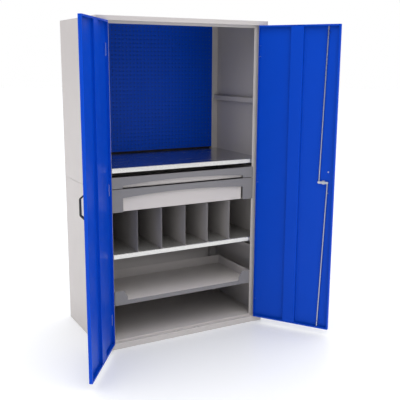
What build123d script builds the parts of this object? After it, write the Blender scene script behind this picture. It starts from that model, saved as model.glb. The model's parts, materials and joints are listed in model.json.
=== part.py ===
from build123d import *
import math
import os

os.makedirs("parts", exist_ok=True)

# Frame: X to the right, Y to the back, Z up, millimetres.
# Origin: the middle of the cabinet's footprint, on the floor.

# ---------------------------------------------------------------------------
# Driving dimensions
# ---------------------------------------------------------------------------

# Carcass
WIDTH = 1088.0
DEPTH = 636.0
HEIGHT = 1900.0
SHEET = 1.2
POST_FACE = 43.0
POST_RETURN = 40.0
REBATE = 24.5
STOP_WIDTH = 36.0
HEADER_FACE = 24.5
HEADER_STOP = 15.5
BASE_FACE = 36.0
BASE_RETURN = 40.0
BASE_SIDE_RETURN = 62.0
FLOOR_RISE = 10.5
FLOOR_REST = 8.0
REAR_POST_WIDTH = 44.0
REAR_POST_DEPTH = 36.0
REAR_POST_WING = 40.0
SEAM_Z = 946.0
SEAM_GAP = 0.6
SEAM_FLANGE = 12.0
STIFFENER_HEIGHT = 30.0
STIFFENER_DEPTH = 25.0

# Fixing holes
FLOOR_HOLE = 11.0
FLOOR_HOLE_SIDE_INSET = 22.0
FLOOR_HOLE_END_INSET = 88.0
WALL_HOLE = 9.0
WALL_HOLE_SIDE_INSET = 144.0
WALL_HOLE_TOP_INSET = 60.0

# Worktop and divider shelf
SHELF_SETBACK = 30.0
SHELF_LIP = 20.0
SHELF_BACK_GAP = 2.0
EDGE_END_GAP = 5.0
BEARER_GAP = 3.0
WORKTOP_Z = 1071.0
WORKTOP_EDGE = 27.5
DIVIDER_SHELF_Z = 568.0
DIVIDER_SHELF_EDGE = 27.5
DIVIDER_COUNT = 5
DIVIDER_SHEET = 1.0
DIVIDER_FOOT = 15.0
DIVIDER_TOP_GAP = 2.5
DIVIDER_BACK_GAP = 5.0

# Perforated tool panel
PANEL_BOTTOM_GAP = 12.0
PANEL_TOP_GAP = 5.0
PANEL_FOLD = 18.0

# Drawers
FRONT_FACE_Y = 21.5
FRONT_SHEET = 2.4
FRONT_OVERLAP = 8.0
FRONT_GAP = 4.0
DRAWER_TOP_GAP = 23.5
SMALL_FRONT = 65.0
LARGE_FRONT = 133.0
RECESS_END = 65.0
RECESS_DEPTH = 14.5
RECESS_LIFT = 2.0
RECESS_ARCH = 17.0
RECESS_PLATE_GAP = 3.0
SMALL_RECESS_SIDE = 15.0
LARGE_RECESS_SIDE = 81.0
POCKET_RISE = 12.0
BOX_SHEET = 1.0
BOX_LENGTH = 398.0
BOX_TOP_GAP = 12.0

# Tray
TRAY_BOTTOM = 262.0
TRAY_APRON = 24.0
TRAY_WING = 85.0
TRAY_WALL = 59.0
TRAY_SIDE_GAP = 3.0
TRAY_LENGTH = 400.0
WING_TOP = 57.0
WING_FOOT = 80.0
WING_SLANT = 37.0
TRAY_RAIL_FOOT = 22.0

# Telescopic runners
RAIL_LENGTH = 400.0
RAIL_START = 2.0
RAIL_WIDTH = 12.5
RAIL_LIP = 9.5
RAIL_SHEET = 1.5
RAIL_PLAY = 0.4
DRAWER_RAIL_HEIGHT = 35.0
TRAY_RAIL_HEIGHT = 20.0
RAIL_LIFT = 11.0
RUNNER_PLATE_SHEET = 1.2
RUNNER_PLATE_GAP = 3.5

# Doors
DOOR_SHEET = 1.2
DOOR_DEPTH = 18.5
DOOR_SETBACK = 2.5
DOOR_GAP = 1.5
HINGE_SIDE_GAP = 3.0
MEETING_GAP = 3.0
DOOR_LIP = 10.0
DOOR_OPEN = 124.7
HAT_START = 200.0
HAT_WIDTH = 78.0
HAT_DEPTH = 16.5
HAT_BRIM = 12.0
HAT_SHEET = 1.0

# Hinges
HINGE_LENGTH = 60.0
HINGE_INSET = 6.0
HINGE_AXIS_Y = 2.0
HINGE_END = 150.0
KNUCKLE = 8.2
KNUCKLE_GAP = 0.3
PIN = 5.0
PIN_FIT = 0.03
PIN_RUNNING_FIT = 0.06
PIN_HEAD = 8.0
PIN_HEAD_HEIGHT = 1.6
LEAF = 1.5
FRAME_LEAF_DEPTH = 20.0
DOOR_LEAF_WIDTH = 30.0
HINGE_NOTCH = 8.4
HINGE_NOTCH_DEPTH = 5.0
HINGE_CLEARANCE = 0.8

# Handles
HANDLE_FROM_EDGE = 41.5
HANDLE_Z = 957.5
HANDLE_HALF = 72.0
HANDLE_GRIP_HALF = 43.5
HANDLE_PROJECTION = 32.0
HANDLE_BAR = 8.0
HANDLE_WIDTH = 14.0
HANDLE_BEND = 12.0
HANDLE_HOLES = 128.0
HANDLE_SCREW = 4.0
HANDLE_SCREW_HEAD = 8.0
HANDLE_SCREW_HEAD_HEIGHT = 2.2
HANDLE_SCREW_GRIP = 6.0

# Lock
LOCK_FROM_EDGE = 68.5
LOCK_Z = 957.5
LOCK_BODY = 18.0
LOCK_BODY_LENGTH = 13.4
LOCK_COLLAR = 23.0
LOCK_COLLAR_HEIGHT = 1.8
LOCK_FIT = 0.03
NUT_ACROSS_FLATS = 23.0
NUT_HEIGHT = 4.0
PLUG = 12.0
PLUG_FIT = 0.06
KEYWAY_WIDTH = 1.8
KEYWAY_LENGTH = 8.0
KEYWAY_DEPTH = 5.0
CAM_ARM = 26.0
CAM_WIDTH = 14.0
CAM_SHEET = 2.5
CAM_GAP = 0.6
CAM_SCREW_HEAD = 8.0
CAM_SCREW_HEAD_HEIGHT = 2.0
CAM_SCREW = 4.0
CAM_SCREW_LENGTH = 8.0

# Lock rods
ROD = 8.0
ROD_DEPTH = 9.4
ROD_TIP_FROM_EDGE = 72.5
ROD_TIP_INSET = 6.0
ROD_EYE = 14.0
ROD_EYE_SHEET = 4.0
ROD_EYE_NECK = 6.0
ROD_PIN = 6.0
ROD_PIN_HEAD = 9.0
ROD_PIN_HEAD_HEIGHT = 1.1
ROD_PIN_HEAD_GAP = 0.3
ROD_CLEARANCE = 1.0
GUIDE_END = 45.0
GUIDE_SHEET = 1.5
GUIDE_FOOT = 22.0
GUIDE_DEPTH = 16.0
GUIDE_MARGIN = 6.0
STRIKE_CLEARANCE = 2.0

# ---------------------------------------------------------------------------
# Planes and edges that the pieces share
# ---------------------------------------------------------------------------

FRONT = -DEPTH / 2
BACK = DEPTH / 2
SIDE_INSIDE = WIDTH / 2 - SHEET
LEG_INSIDE = SIDE_INSIDE - SHEET
BACK_INSIDE = BACK - SHEET
ROOF_UNDERSIDE = HEIGHT - SHEET
POST_WALL = WIDTH / 2 - POST_FACE
OPENING_HALF = POST_WALL - STOP_WIDTH
STOP_Y = FRONT + REBATE
STOP_BACK = STOP_Y + SHEET
POST_BACK = FRONT + POST_RETURN
REAR_POST_Y = BACK - REAR_POST_DEPTH
REAR_POST_INSIDE = WIDTH / 2 - REAR_POST_WIDTH
WING_Y = REAR_POST_Y - REAR_POST_WING
LEDGE_Z = HEIGHT - HEADER_FACE
FLOOR_Z = BASE_FACE + FLOOR_RISE
BASE_SIDE_EDGE = SIDE_INSIDE - BASE_SIDE_RETURN
FLOOR_HALF = BASE_SIDE_EDGE + FLOOR_REST
SHELF_Y = FRONT + SHELF_SETBACK
SHELF_BACK_Y = BACK_INSIDE - SHELF_BACK_GAP
EDGE_HALF = OPENING_HALF - EDGE_END_GAP
DIVIDER_PITCH = 2 * OPENING_HALF / (DIVIDER_COUNT + 1)
FLOOR_HOLE_X = WIDTH / 2 - FLOOR_HOLE_SIDE_INSET
FLOOR_HOLE_Y = DEPTH / 2 - FLOOR_HOLE_END_INSET
WALL_HOLE_X = WIDTH / 2 - WALL_HOLE_SIDE_INSET
WALL_HOLE_Z = HEIGHT - WALL_HOLE_TOP_INSET
LOWER_MIDDLE_Z = SEAM_Z / 2
UPPER_MIDDLE_Z = (SEAM_Z + HEIGHT) / 2

FRONT_Y = FRONT + FRONT_FACE_Y
FRONT_BACK_Y = FRONT_Y + FRONT_SHEET
POCKET_Y = FRONT_Y + RECESS_DEPTH
RECESS_HALF = OPENING_HALF - RECESS_END
RECESS_PLATE_HALF = RECESS_HALF - RECESS_PLATE_GAP
SMALL_TOP = WORKTOP_Z - WORKTOP_EDGE - DRAWER_TOP_GAP
SMALL_BOTTOM = SMALL_TOP - SMALL_FRONT
LARGE_TOP = SMALL_BOTTOM - FRONT_GAP
LARGE_BOTTOM = LARGE_TOP - LARGE_FRONT
RAIL_Y = STOP_BACK + RAIL_START
BOX_HALF = OPENING_HALF - RAIL_WIDTH
TRAY_FLOOR = TRAY_BOTTOM + TRAY_APRON
TRAY_HALF = OPENING_HALF - TRAY_SIDE_GAP
WING_TOP_HALF = TRAY_HALF - WING_TOP
WING_FOOT_HALF = TRAY_HALF - WING_FOOT
SMALL_RAIL_Z = SMALL_BOTTOM + RAIL_LIFT + DRAWER_RAIL_HEIGHT / 2
LARGE_RAIL_Z = LARGE_BOTTOM + RAIL_LIFT + DRAWER_RAIL_HEIGHT / 2
TRAY_RAIL_Z = TRAY_FLOOR - RAIL_SHEET - TRAY_RAIL_HEIGHT / 2

DOOR_BOTTOM = BASE_FACE + DOOR_GAP
DOOR_TOP = LEDGE_Z - DOOR_GAP
DOOR_MIDDLE = (DOOR_BOTTOM + DOOR_TOP) / 2
DOOR_Y = FRONT + DOOR_SETBACK
DOOR_BACK_Y = DOOR_Y + DOOR_DEPTH
DOOR_INSIDE_Y = DOOR_Y + DOOR_SHEET
HINGE_EDGE = POST_WALL - HINGE_SIDE_GAP
MEETING_EDGE = MEETING_GAP / 2
AXIS_X = POST_WALL - HINGE_INSET
AXIS_Y = FRONT + HINGE_AXIS_Y
HINGE_HEIGHTS = (DOOR_BOTTOM + HINGE_END, DOOR_MIDDLE, DOOR_TOP - HINGE_END)
HANDLE_X = MEETING_EDGE + HANDLE_FROM_EDGE
LOCK_X = MEETING_EDGE + LOCK_FROM_EDGE
CAM_Y = DOOR_Y + LOCK_BODY_LENGTH + CAM_GAP
CAM_BACK_Y = CAM_Y + CAM_SHEET
ROD_Y = DOOR_Y + ROD_DEPTH
ROD_TIP_X = MEETING_EDGE + ROD_TIP_FROM_EDGE
UPPER_TIP_Z = DOOR_TOP - ROD_TIP_INSET
LOWER_TIP_Z = DOOR_BOTTOM + ROD_TIP_INSET

# ---------------------------------------------------------------------------
# Helpers
# ---------------------------------------------------------------------------


def block(x, y, z):
    """A box that fills three (low, high) spans."""
    size = [high - low for low, high in (x, y, z)]
    middle = [(high + low) / 2 for low, high in (x, y, z)]
    return Pos(*middle) * Box(*size)


def rod_along_y(x, y, z, diameter):
    """A round bar parallel to Y, with y as its (low, high) span."""
    length = y[1] - y[0]
    return Pos(x, y[0] + length / 2, z) * Rot(90, 0, 0) * Cylinder(diameter / 2, length)


def strip(path, sheet):
    """Section of a bent sheet: a face line, and its copy one thickness to the left (right if negative)."""
    points = [Vector(*point) for point in path]
    runs = [(after - before).normalized() for before, after in zip(points, points[1:])]
    normals = [Vector(-run.Y, run.X) * sheet for run in runs]
    copy = [points[0] + normals[0]]
    for point, before, after in zip(points[1:], normals, normals[1:]):
        copy.append(point + (before + after) / (1 + before.dot(after) / sheet**2))
    copy.append(points[-1] + normals[-1])
    return make_face(Polyline(*points, *reversed(copy), close=True))


def along_x(section, x):
    """A section drawn in (y, z), extruded over an x span."""
    return extrude(Plane.YZ.offset(x[0]) * section, amount=x[1] - x[0], dir=(1, 0, 0))


def along_y(section, y):
    """A section drawn in (x, z), extruded over a y span."""
    return extrude(Plane.XZ.offset(-y[0]) * section, amount=y[1] - y[0], dir=(0, 1, 0))


def along_z(section, z):
    """A section drawn in (x, y), extruded over a z span."""
    return extrude(Plane.XY.offset(z[0]) * section, amount=z[1] - z[0], dir=(0, 0, 1))


def mirrored(shape):
    """The left-hand copy of a right-hand piece."""
    return mirror(shape, about=Plane.YZ)


def pair(shape):
    """A right-hand piece and its left-hand copy, as two solids."""
    return Compound(children=[shape, mirrored(shape)])


def swing(shape):
    """Carries a piece of the shut right door to its open place."""
    return shape.rotate(Axis((AXIS_X, AXIS_Y, 0), (0, 0, 1)), DOOR_OPEN)


def save(shape, name):
    export_step(shape, f"parts/{name}.step")


def save_both(shape, name):
    """Writes a right-hand piece and its left-hand copy as two nodes."""
    save(shape, f"{name}_right")
    save(mirrored(shape), f"{name}_left")


# ---------------------------------------------------------------------------
# Carcass
# ---------------------------------------------------------------------------


def roof_panel():
    return block((-WIDTH / 2, WIDTH / 2), (FRONT, BACK), (ROOF_UNDERSIDE, HEIGHT))


def front_post():
    """Outer leg, front face, rebate wall and door stop in one bent section."""
    path = [
        (SIDE_INSIDE, POST_BACK),
        (SIDE_INSIDE, FRONT),
        (POST_WALL, FRONT),
        (POST_WALL, STOP_Y),
        (OPENING_HALF, STOP_Y),
    ]
    return along_z(strip(path, -SHEET), (0, ROOF_UNDERSIDE))


def rear_post():
    """Square tube section, closed by the back panel, with a wing forward along the side panel."""
    path = [
        (LEG_INSIDE, REAR_POST_Y),
        (REAR_POST_INSIDE, REAR_POST_Y),
        (REAR_POST_INSIDE, BACK_INSIDE),
    ]
    tube = along_z(strip(path, -SHEET), (0, ROOF_UNDERSIDE))
    wing = block((LEG_INSIDE, SIDE_INSIDE), (WING_Y, BACK_INSIDE), (0, ROOF_UNDERSIDE))
    return tube + wing


def strike_slot(tip_z, plate_z):
    """Room for a lock rod's end in a rail, across the rod's whole swing, on either side of the middle."""
    low, high = rod_span(tip_z)
    reach = ROD / 2 + STRIKE_CLEARANCE
    return pair(block((low - reach, high + reach), (ROD_Y - reach, ROD_Y + reach), plate_z))


def header_rail():
    """Front face and underside ledge between the posts, with the upper door stop."""
    ledge = [(FRONT, ROOF_UNDERSIDE), (FRONT, LEDGE_Z), (STOP_Y, LEDGE_Z)]
    stop = [(STOP_Y - SHEET, LEDGE_Z), (STOP_Y, LEDGE_Z), (STOP_Y, LEDGE_Z - HEADER_STOP)]
    rail = along_x(strip(ledge, SHEET), (-POST_WALL, POST_WALL))
    rail += along_x(strip(stop, SHEET), (-OPENING_HALF, OPENING_HALF))
    return rail - strike_slot(DOOR_TOP, (LEDGE_Z - SHEET, LEDGE_Z + 2 * SHEET))


def base_front_rail():
    """Plinth face with a ledge and a foot folded back, notched round the posts' stops."""
    middle = [
        (FRONT + BASE_RETURN, 0),
        (FRONT, 0),
        (FRONT, BASE_FACE),
        (FRONT + BASE_RETURN, BASE_FACE),
    ]
    ends = [(STOP_Y, 0), (FRONT, 0), (FRONT, BASE_FACE), (STOP_Y, BASE_FACE)]
    rail = along_x(strip(middle, -SHEET), (-OPENING_HALF, OPENING_HALF))
    rail += along_x(strip(ends, -SHEET), (-POST_WALL, POST_WALL))
    return rail - strike_slot(DOOR_BOTTOM, (BASE_FACE - 2 * SHEET, BASE_FACE + SHEET))


def base_rear_rail():
    path = [
        (BACK_INSIDE - BASE_RETURN, BASE_FACE),
        (BACK_INSIDE, BASE_FACE),
        (BACK_INSIDE, 0),
        (BACK_INSIDE - BASE_RETURN, 0),
    ]
    return along_x(strip(path, -SHEET), (-REAR_POST_INSIDE, REAR_POST_INSIDE))


def base_side_rail():
    """Channel along the side panel's foot, with two holes for floor bolts."""
    path = [
        (BASE_SIDE_EDGE, 0),
        (SIDE_INSIDE, 0),
        (SIDE_INSIDE, BASE_FACE),
        (BASE_SIDE_EDGE, BASE_FACE),
    ]
    rail = along_y(strip(path, SHEET), (POST_BACK, WING_Y))
    for y in (-FLOOR_HOLE_Y, FLOOR_HOLE_Y):
        rail -= Pos(FLOOR_HOLE_X, y, 0) * Cylinder(FLOOR_HOLE / 2, 4 * SHEET)
    return rail


def floor_panel():
    """Compartment floor: folded down behind the ledge, and along both sides onto the side rails."""
    path = [
        (-FLOOR_HALF, BASE_FACE),
        (-FLOOR_HALF, FLOOR_Z),
        (FLOOR_HALF, FLOOR_Z),
        (FLOOR_HALF, BASE_FACE),
    ]
    panel = along_y(strip(path, -SHEET), (STOP_BACK, BACK_INSIDE))
    front_fold = block((-OPENING_HALF, OPENING_HALF), (STOP_Y, STOP_BACK), (BASE_FACE, FLOOR_Z))
    return panel + front_fold


def side_panel(z, flange_z):
    """One half of a side, with a flange folded in at the seam."""
    face = block((SIDE_INSIDE, WIDTH / 2), (FRONT, BACK_INSIDE), z)
    flange = block((SIDE_INSIDE - SEAM_FLANGE, SIDE_INSIDE), (POST_BACK, WING_Y), flange_z)
    return face + flange


def back_panel(z, flange_z):
    """One half of the back, with a flange folded in at the seam."""
    face = block((-WIDTH / 2, WIDTH / 2), (BACK_INSIDE, BACK), z)
    flange = block((-REAR_POST_INSIDE, REAR_POST_INSIDE), (BACK_INSIDE - SEAM_FLANGE, BACK_INSIDE), flange_z)
    return face + flange


def upper_back_panel(z, flange_z):
    """The upper half of the back has two holes for wall screws."""
    panel = back_panel(z, flange_z)
    for x in (-WALL_HOLE_X, WALL_HOLE_X):
        panel -= rod_along_y(x, (BACK_INSIDE - SHEET, BACK + SHEET), WALL_HOLE_Z, WALL_HOLE)
    return panel


def side_stiffener(middle_z):
    """Channel across a side panel half, from front post to rear post."""
    low = middle_z - STIFFENER_HEIGHT / 2
    high = middle_z + STIFFENER_HEIGHT / 2
    face = LEG_INSIDE - STIFFENER_DEPTH
    path = [(LEG_INSIDE, low), (face, low), (face, high), (LEG_INSIDE, high)]
    return along_y(strip(path, -SHEET), (STOP_BACK, REAR_POST_Y))


def side_stiffeners():
    lower = side_stiffener(LOWER_MIDDLE_Z)
    upper = side_stiffener(UPPER_MIDDLE_Z)
    return Compound(children=[lower, upper, mirrored(lower), mirrored(upper)])


def save_carcass():
    lower_z = (0, SEAM_Z - SEAM_GAP / 2)
    upper_z = (SEAM_Z + SEAM_GAP / 2, ROOF_UNDERSIDE)
    lower_flange = (lower_z[1] - SHEET, lower_z[1])
    upper_flange = (upper_z[0], upper_z[0] + SHEET)
    save(roof_panel(), "roof_panel")
    save_both(front_post(), "front_post")
    save_both(rear_post(), "rear_post")
    save(header_rail(), "header_rail")
    save(base_front_rail(), "base_front_rail")
    save(base_rear_rail(), "base_rear_rail")
    save(pair(base_side_rail()), "base_side_rails")
    save(floor_panel(), "floor_panel")
    save_both(side_panel(lower_z, lower_flange), "side_panel_lower")
    save_both(side_panel(upper_z, upper_flange), "side_panel_upper")
    save(back_panel(lower_z, lower_flange), "back_panel_lower")
    save(upper_back_panel(upper_z, upper_flange), "back_panel_upper")
    save(side_stiffeners(), "side_stiffeners")


# ---------------------------------------------------------------------------
# Perforated panel, worktop, divider shelf
# ---------------------------------------------------------------------------


def perforated_panel():
    """Blank of the tool panel: a face between the rear posts, with all four edges folded back."""
    bottom = WORKTOP_Z + PANEL_BOTTOM_GAP
    top = ROOF_UNDERSIDE - PANEL_TOP_GAP
    half = REAR_POST_INSIDE
    pan = block((-half, half), (REAR_POST_Y, REAR_POST_Y + PANEL_FOLD), (bottom, top))
    hollow = block(
        (-half + SHEET, half - SHEET),
        (REAR_POST_Y + SHEET, REAR_POST_Y + PANEL_FOLD),
        (bottom + SHEET, top - SHEET),
    )
    return pan - hollow


def shelf(top_z, edge):
    """Sheet from side to side and back between the rear posts, its edges folded down and under."""
    low = top_z - edge
    path = [
        (SHELF_Y + SHELF_LIP, low),
        (SHELF_Y, low),
        (SHELF_Y, top_z),
        (SHELF_BACK_Y, top_z),
        (SHELF_BACK_Y, low),
        (SHELF_BACK_Y - SHELF_LIP, low),
    ]
    board = along_x(strip(path, -SHEET), (-EDGE_HALF, EDGE_HALF))
    return board + block((-LEG_INSIDE, LEG_INSIDE), (SHELF_Y, REAR_POST_Y), (top_z - SHEET, top_z))


def bearer(top_z, edge):
    """Upturned pan that carries one end of a shelf between the front and the rear post."""
    inner = EDGE_HALF + BEARER_GAP
    z = (top_z - edge, top_z - SHEET)
    pan = block((inner, LEG_INSIDE), (SHELF_Y, REAR_POST_Y), z)
    hollow = block(
        (inner + SHEET, LEG_INSIDE),
        (SHELF_Y + SHEET, REAR_POST_Y - SHEET),
        (z[0], z[1] - SHEET),
    )
    return pan - hollow


def divider(x):
    """Upright partition on the divider shelf, with a foot folded to one side."""
    top = LARGE_BOTTOM - DIVIDER_TOP_GAP
    path = [(x + DIVIDER_FOOT, DIVIDER_SHELF_Z), (x, DIVIDER_SHELF_Z), (x, top)]
    return along_y(strip(path, -DIVIDER_SHEET), (SHELF_Y, SHELF_BACK_Y - DIVIDER_BACK_GAP))


def dividers():
    first = -DIVIDER_PITCH * (DIVIDER_COUNT - 1) / 2
    return Compound(children=[divider(first + index * DIVIDER_PITCH) for index in range(DIVIDER_COUNT)])


def save_fittings():
    save(perforated_panel(), "perforated_panel")
    save(shelf(WORKTOP_Z, WORKTOP_EDGE), "worktop")
    save(pair(bearer(WORKTOP_Z, WORKTOP_EDGE)), "worktop_bearers")
    save(shelf(DIVIDER_SHELF_Z, DIVIDER_SHELF_EDGE), "divider_shelf")
    save(pair(bearer(DIVIDER_SHELF_Z, DIVIDER_SHELF_EDGE)), "shelf_bearers")
    save(dividers(), "shelf_dividers")


# ---------------------------------------------------------------------------
# Telescopic runners
# ---------------------------------------------------------------------------


def runner_plate(z):
    """Channel from front post to rear post that carries the fixed rails, flush with the stop's edge."""
    path = [(LEG_INSIDE, z[0]), (OPENING_HALF, z[0]), (OPENING_HALF, z[1]), (LEG_INSIDE, z[1])]
    return along_y(strip(path, -RUNNER_PLATE_SHEET), (STOP_BACK, REAR_POST_Y))


def rail(outer, lip, half_height):
    """C section open towards the cabinet's middle: its web's outer face lies at x = outer."""
    path = [
        (outer - lip, -half_height),
        (outer, -half_height),
        (outer, half_height),
        (outer - lip, half_height),
    ]
    return strip(path, RAIL_SHEET)


def fixed_rail(middle_z, height):
    section = Pos(0, middle_z) * rail(OPENING_HALF, RAIL_LIP, height / 2)
    return along_y(section, (RAIL_Y, RAIL_Y + RAIL_LENGTH))


def middle_rail(middle_z, height):
    """Runs inside the fixed rail."""
    step = RAIL_SHEET + RAIL_PLAY
    section = Pos(0, middle_z) * rail(OPENING_HALF - step, RAIL_LIP - step, height / 2 - step)
    return along_y(section, (RAIL_Y, RAIL_Y + RAIL_LENGTH))


def inner_rail(middle_z, height):
    """Runs inside the middle rail; its web is turned to the drawer."""
    step = 2 * (RAIL_SHEET + RAIL_PLAY)
    web = OPENING_HALF - RAIL_WIDTH
    half = height / 2 - step
    path = [
        (OPENING_HALF - step, -half),
        (web, -half),
        (web, half),
        (OPENING_HALF - step, half),
    ]
    section = Pos(0, middle_z) * strip(path, -RAIL_SHEET)
    return along_y(section, (RAIL_Y, RAIL_Y + RAIL_LENGTH))


def tray_inner_rail(middle_z, height):
    """The tray's rail has a foot folded in under the tray's floor."""
    web = OPENING_HALF - RAIL_WIDTH
    upright = block((web, web + RAIL_SHEET), (RAIL_Y, RAIL_Y + RAIL_LENGTH), (middle_z, TRAY_FLOOR))
    foot = block(
        (web - TRAY_RAIL_FOOT, web),
        (RAIL_Y, RAIL_Y + TRAY_LENGTH - RAIL_WIDTH),
        (TRAY_FLOOR - RAIL_SHEET, TRAY_FLOOR),
    )
    return inner_rail(middle_z, height) + upright + foot


def save_runners():
    drawer_plate_z = (LARGE_BOTTOM + RUNNER_PLATE_GAP, SMALL_TOP + RUNNER_PLATE_GAP)
    tray_plate_z = (TRAY_RAIL_Z - TRAY_RAIL_HEIGHT / 2 - RUNNER_PLATE_GAP, TRAY_FLOOR)
    save(pair(runner_plate(drawer_plate_z)), "drawer_runner_plates")
    save(pair(runner_plate(tray_plate_z)), "tray_runner_plates")
    for name, middle_z in (("small_drawer", SMALL_RAIL_Z), ("large_drawer", LARGE_RAIL_Z)):
        save(pair(fixed_rail(middle_z, DRAWER_RAIL_HEIGHT)), f"{name}_fixed_rails")
        save(pair(middle_rail(middle_z, DRAWER_RAIL_HEIGHT)), f"{name}_middle_rails")
        save(pair(inner_rail(middle_z, DRAWER_RAIL_HEIGHT)), f"{name}_inner_rails")
    save(pair(fixed_rail(TRAY_RAIL_Z, TRAY_RAIL_HEIGHT)), "tray_fixed_rails")
    save(pair(middle_rail(TRAY_RAIL_Z, TRAY_RAIL_HEIGHT)), "tray_middle_rails")
    save(pair(tray_inner_rail(TRAY_RAIL_Z, TRAY_RAIL_HEIGHT)), "tray_inner_rails")


# ---------------------------------------------------------------------------
# Drawers and tray
# ---------------------------------------------------------------------------


def recess_outline(bottom, side):
    """Opening of the grip recess: straight sides and an arched top edge, open at the bottom."""
    below = bottom - FRONT_SHEET
    left = (-RECESS_HALF, bottom + side)
    right = (RECESS_HALF, bottom + side)
    arch = ThreePointArc(left, (0, bottom + side + RECESS_ARCH), right)
    rest = Polyline(right, (RECESS_HALF, below), (-RECESS_HALF, below), left)
    return make_face(arch.edges() + rest.edges())


def drawer_front(bottom, height, side):
    """Front sheet that overlaps the stops, with a wide recess to reach in behind its upper band."""
    half = OPENING_HALF + FRONT_OVERLAP
    face = block((-half, half), (FRONT_Y, FRONT_BACK_Y), (bottom, bottom + height))
    face -= along_y(recess_outline(bottom, side), (FRONT_Y - SHEET, FRONT_BACK_Y + SHEET))
    low = bottom + RECESS_LIFT
    high = bottom + side + RECESS_ARCH + POCKET_RISE
    path = [(FRONT_BACK_Y, high), (POCKET_Y + SHEET, high), (POCKET_Y + SHEET, low)]
    plate = along_x(strip(path, -SHEET), (-RECESS_PLATE_HALF, RECESS_PLATE_HALF))
    return face + plate


def drawer_box(bottom, height):
    """Open box behind the front: floor cut out for the recess, two sides and a back."""
    low = bottom + RECESS_LIFT
    high = bottom + height - BOX_TOP_GAP
    back = FRONT_BACK_Y + BOX_LENGTH
    floor_z = (low, low + BOX_SHEET)
    floor = block((-BOX_HALF, BOX_HALF), (FRONT_BACK_Y, back), floor_z)
    floor -= block((-RECESS_HALF, RECESS_HALF), (FRONT_BACK_Y, POCKET_Y + SHEET), floor_z)
    side = block((BOX_HALF - BOX_SHEET, BOX_HALF), (FRONT_BACK_Y, back), (low, high))
    rear = block((-BOX_HALF, BOX_HALF), (back - BOX_SHEET, back), (low, high))
    return floor + side + mirrored(side) + rear


def tray():
    """Pull-out tray: its front is an apron below the floor, with a wing at each end."""
    top = TRAY_BOTTOM + TRAY_WING
    outline = Polyline(
        (-TRAY_HALF, TRAY_BOTTOM),
        (TRAY_HALF, TRAY_BOTTOM),
        (TRAY_HALF, top),
        (WING_TOP_HALF, top),
        (WING_FOOT_HALF, top - WING_SLANT),
        (WING_FOOT_HALF, TRAY_FLOOR + SHEET),
        (-WING_FOOT_HALF, TRAY_FLOOR + SHEET),
        (-WING_FOOT_HALF, top - WING_SLANT),
        (-WING_TOP_HALF, top),
        (-TRAY_HALF, top),
        close=True,
    )
    front = along_y(make_face(outline), (FRONT_Y, FRONT_Y + SHEET))
    inside_y = FRONT_Y + SHEET
    back = FRONT_Y + TRAY_LENGTH
    wall = (TRAY_FLOOR, TRAY_FLOOR + TRAY_WALL)
    floor = block((-TRAY_HALF, TRAY_HALF), (inside_y, back), (TRAY_FLOOR, TRAY_FLOOR + SHEET))
    side = block((TRAY_HALF - SHEET, TRAY_HALF), (inside_y, back), wall)
    rear = block((-TRAY_HALF, TRAY_HALF), (back - SHEET, back), wall)
    return front + floor + side + mirrored(side) + rear


def save_drawers():
    small_front = drawer_front(SMALL_BOTTOM, SMALL_FRONT, SMALL_RECESS_SIDE)
    large_front = drawer_front(LARGE_BOTTOM, LARGE_FRONT, LARGE_RECESS_SIDE)
    save(small_front, "small_drawer_front")
    save(drawer_box(SMALL_BOTTOM, SMALL_FRONT), "small_drawer_box")
    save(large_front, "large_drawer_front")
    save(drawer_box(LARGE_BOTTOM, LARGE_FRONT), "large_drawer_box")
    save(tray(), "tray")


# ---------------------------------------------------------------------------
# Lock rods: where they run
# ---------------------------------------------------------------------------


def rod_line(turn, side):
    """Pivot (x, z) and slope dx/dz of a rod at a cam turn in degrees; side is 1 for the upper rod, -1 below.

    The rod leans from its pivot to its tip when the cam is at rest. A quarter turn brings the pivot straight
    above or below the cam's hub, and the lean changes evenly with the turn.
    """
    tip_z = UPPER_TIP_Z if side > 0 else LOWER_TIP_Z
    lean_at_rest = math.atan((ROD_TIP_X - LOCK_X - side * CAM_ARM) / (tip_z - LOCK_Z))
    lean_turned = math.atan((ROD_TIP_X - LOCK_X) / (tip_z - LOCK_Z))
    lean = lean_at_rest + (lean_turned - lean_at_rest) * turn / 90
    pivot_x = LOCK_X + side * CAM_ARM * math.cos(math.radians(turn))
    pivot_z = LOCK_Z + side * CAM_ARM * math.sin(math.radians(turn))
    return pivot_x, pivot_z, math.tan(lean)


def rod_span(z):
    """The (low, high) x span that a rod's centre line sweeps at height z, over the cam's quarter turn."""
    side = 1 if z > LOCK_Z else -1
    places = []
    for turn in range(0, 91, 5):
        pivot_x, pivot_z, slope = rod_line(turn, side)
        places.append(pivot_x + (z - pivot_z) * slope)
    return min(places), max(places)


def rod_slot(z, plate_z):
    """Slot in a plate at height z that the rod runs through."""
    low, high = rod_span(z)
    reach = ROD / 2 + ROD_CLEARANCE
    return block((low - reach, high + reach), (ROD_Y - reach, ROD_Y + reach), plate_z)


# ---------------------------------------------------------------------------
# Doors, modelled shut and then swung open
# ---------------------------------------------------------------------------


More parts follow.
